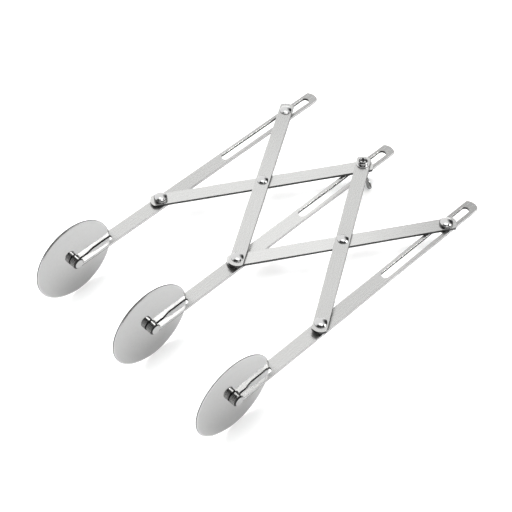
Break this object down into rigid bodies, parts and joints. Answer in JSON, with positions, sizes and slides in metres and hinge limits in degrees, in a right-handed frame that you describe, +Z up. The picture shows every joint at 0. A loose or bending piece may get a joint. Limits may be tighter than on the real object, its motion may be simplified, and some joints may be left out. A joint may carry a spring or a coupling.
{
  "type": "expanding pastry cutter",
  "caption": "Expanding pastry cutter: cutting wheels on slotted arms joined by crossed bars, so the spacing of the cuts is set by folding the lattice and locked with a wing nut.",
  "frame": {"origin": "centre of the base of the bounding box, on the floor the wheels and the wing nut stand on", "axes": "+Y from the wheels to the tails of the arms, +X across the arms from the first to the third, +Z up"},
  "size_m": [0.1472, 0.2268, 0.054],
  "materials": {
    "strip": "satin, brushed along the strip",
    "disc": "polished face, ground bevel",
    "hardware": "bright polished"
  },
  "bodies": {
    "arm_2": {"arm_2": "strip", "axle_rivet_2": "hardware", "wheel_washer_2_left": "hardware", "wheel_washer_2_right": "hardware", "front_rivet_2": "hardware"},
    "bar_left_upper": {"left_upper_bar": "strip", "cross_rivet_left": "hardware", "slide_rivet_1": "hardware", "slide_spacer_1": "hardware", "under_washer_1": "hardware"},
    "bar_left_lower": {"left_lower_bar": "strip", "front_rivet_1": "hardware", "front_spacer_1": "hardware", "clamp_screw": "hardware", "clamp_washer_top": "hardware", "clamp_washer_under": "hardware"},
    "arm_1": {"arm_1": "strip", "axle_rivet_1": "hardware", "wheel_washer_1_left": "hardware", "wheel_washer_1_right": "hardware"},
    "bar_right_lower": {"right_lower_bar": "strip", "cross_rivet_right": "hardware", "slide_rivet_3": "hardware", "slide_washer_3": "hardware", "under_washer_3": "hardware"},
    "bar_right_upper": {"right_upper_bar": "strip", "front_rivet_3": "hardware", "front_spacer_3": "hardware"},
    "arm_3": {"arm_3": "strip", "axle_rivet_3": "hardware", "wheel_washer_3_left": "hardware", "wheel_washer_3_right": "hardware"},
    "wheel_1": {"disc_1": "disc"},
    "wheel_2": {"disc_2": "disc"},
    "wheel_3": {"disc_3": "disc"},
    "wing_nut": {"wing_nut": "hardware"}
  },
  "joints": [
    {"name": "scissor_fold", "type": "hinge", "parent": "arm_2", "child": "bar_left_upper", "pos_m": [0, -0.01923, 0.01953], "axis": [0, 0.0803, 0.9968], "range_deg": [-22.8, 32.2]},
    {"name": "cross_pivot_left", "type": "hinge", "parent": "bar_left_upper", "child": "bar_left_lower", "pos_m": [-0.03365, 0.0341, 0.01523], "axis": [0, 0.0803, 0.9968], "range_deg": [-64.41, 45.61]},
    {"name": "front_pivot_1", "type": "hinge", "parent": "bar_left_lower", "child": "arm_1", "pos_m": [-0.0673, -0.01923, 0.01953], "axis": [0, 0.0803, 0.9968], "range_deg": [-22.81, 32.21]},
    {"name": "front_pivot_2_lower", "type": "hinge", "parent": "arm_2", "child": "bar_right_lower", "pos_m": [0, -0.01923, 0.01953], "axis": [0, 0.0803, 0.9968], "range_deg": [-32.21, 22.81]},
    {"name": "cross_pivot_right", "type": "hinge", "parent": "bar_right_lower", "child": "bar_right_upper", "pos_m": [0.03365, 0.0341, 0.01523], "axis": [0, 0.0803, 0.9968], "range_deg": [-45.61, 64.41]},
    {"name": "front_pivot_3", "type": "hinge", "parent": "bar_right_upper", "child": "arm_3", "pos_m": [0.0673, -0.01923, 0.01953], "axis": [0, 0.0803, 0.9968], "range_deg": [-32.21, 22.81]},
    {"name": "wing_nut_turn", "type": "hinge", "parent": "bar_left_lower", "child": "wing_nut", "pos_m": [0, 0.08743, 0.01093], "axis": [0, 0.0803, 0.9968], "range_deg": [0, 180]},
    {"name": "wheel_1_roll", "type": "hinge", "parent": "arm_1", "child": "wheel_1", "pos_m": [-0.0673, -0.08644, 0.027], "axis": [1, 0, 0], "continuous": true},
    {"name": "wheel_2_roll", "type": "hinge", "parent": "arm_2", "child": "wheel_2", "pos_m": [0, -0.08644, 0.027], "axis": [1, 0, 0], "continuous": true},
    {"name": "wheel_3_roll", "type": "hinge", "parent": "arm_3", "child": "wheel_3", "pos_m": [0.0673, -0.08644, 0.027], "axis": [1, 0, 0], "continuous": true}
  ],
  "couplings": [
    {"joint": "cross_pivot_left", "follows": "scissor_fold", "ratio": -2},
    {"joint": "front_pivot_1", "follows": "scissor_fold", "ratio": 1},
    {"joint": "front_pivot_2_lower", "follows": "scissor_fold", "ratio": -1},
    {"joint": "cross_pivot_right", "follows": "scissor_fold", "ratio": 2},
    {"joint": "front_pivot_3", "follows": "scissor_fold", "ratio": -1}
  ]
}
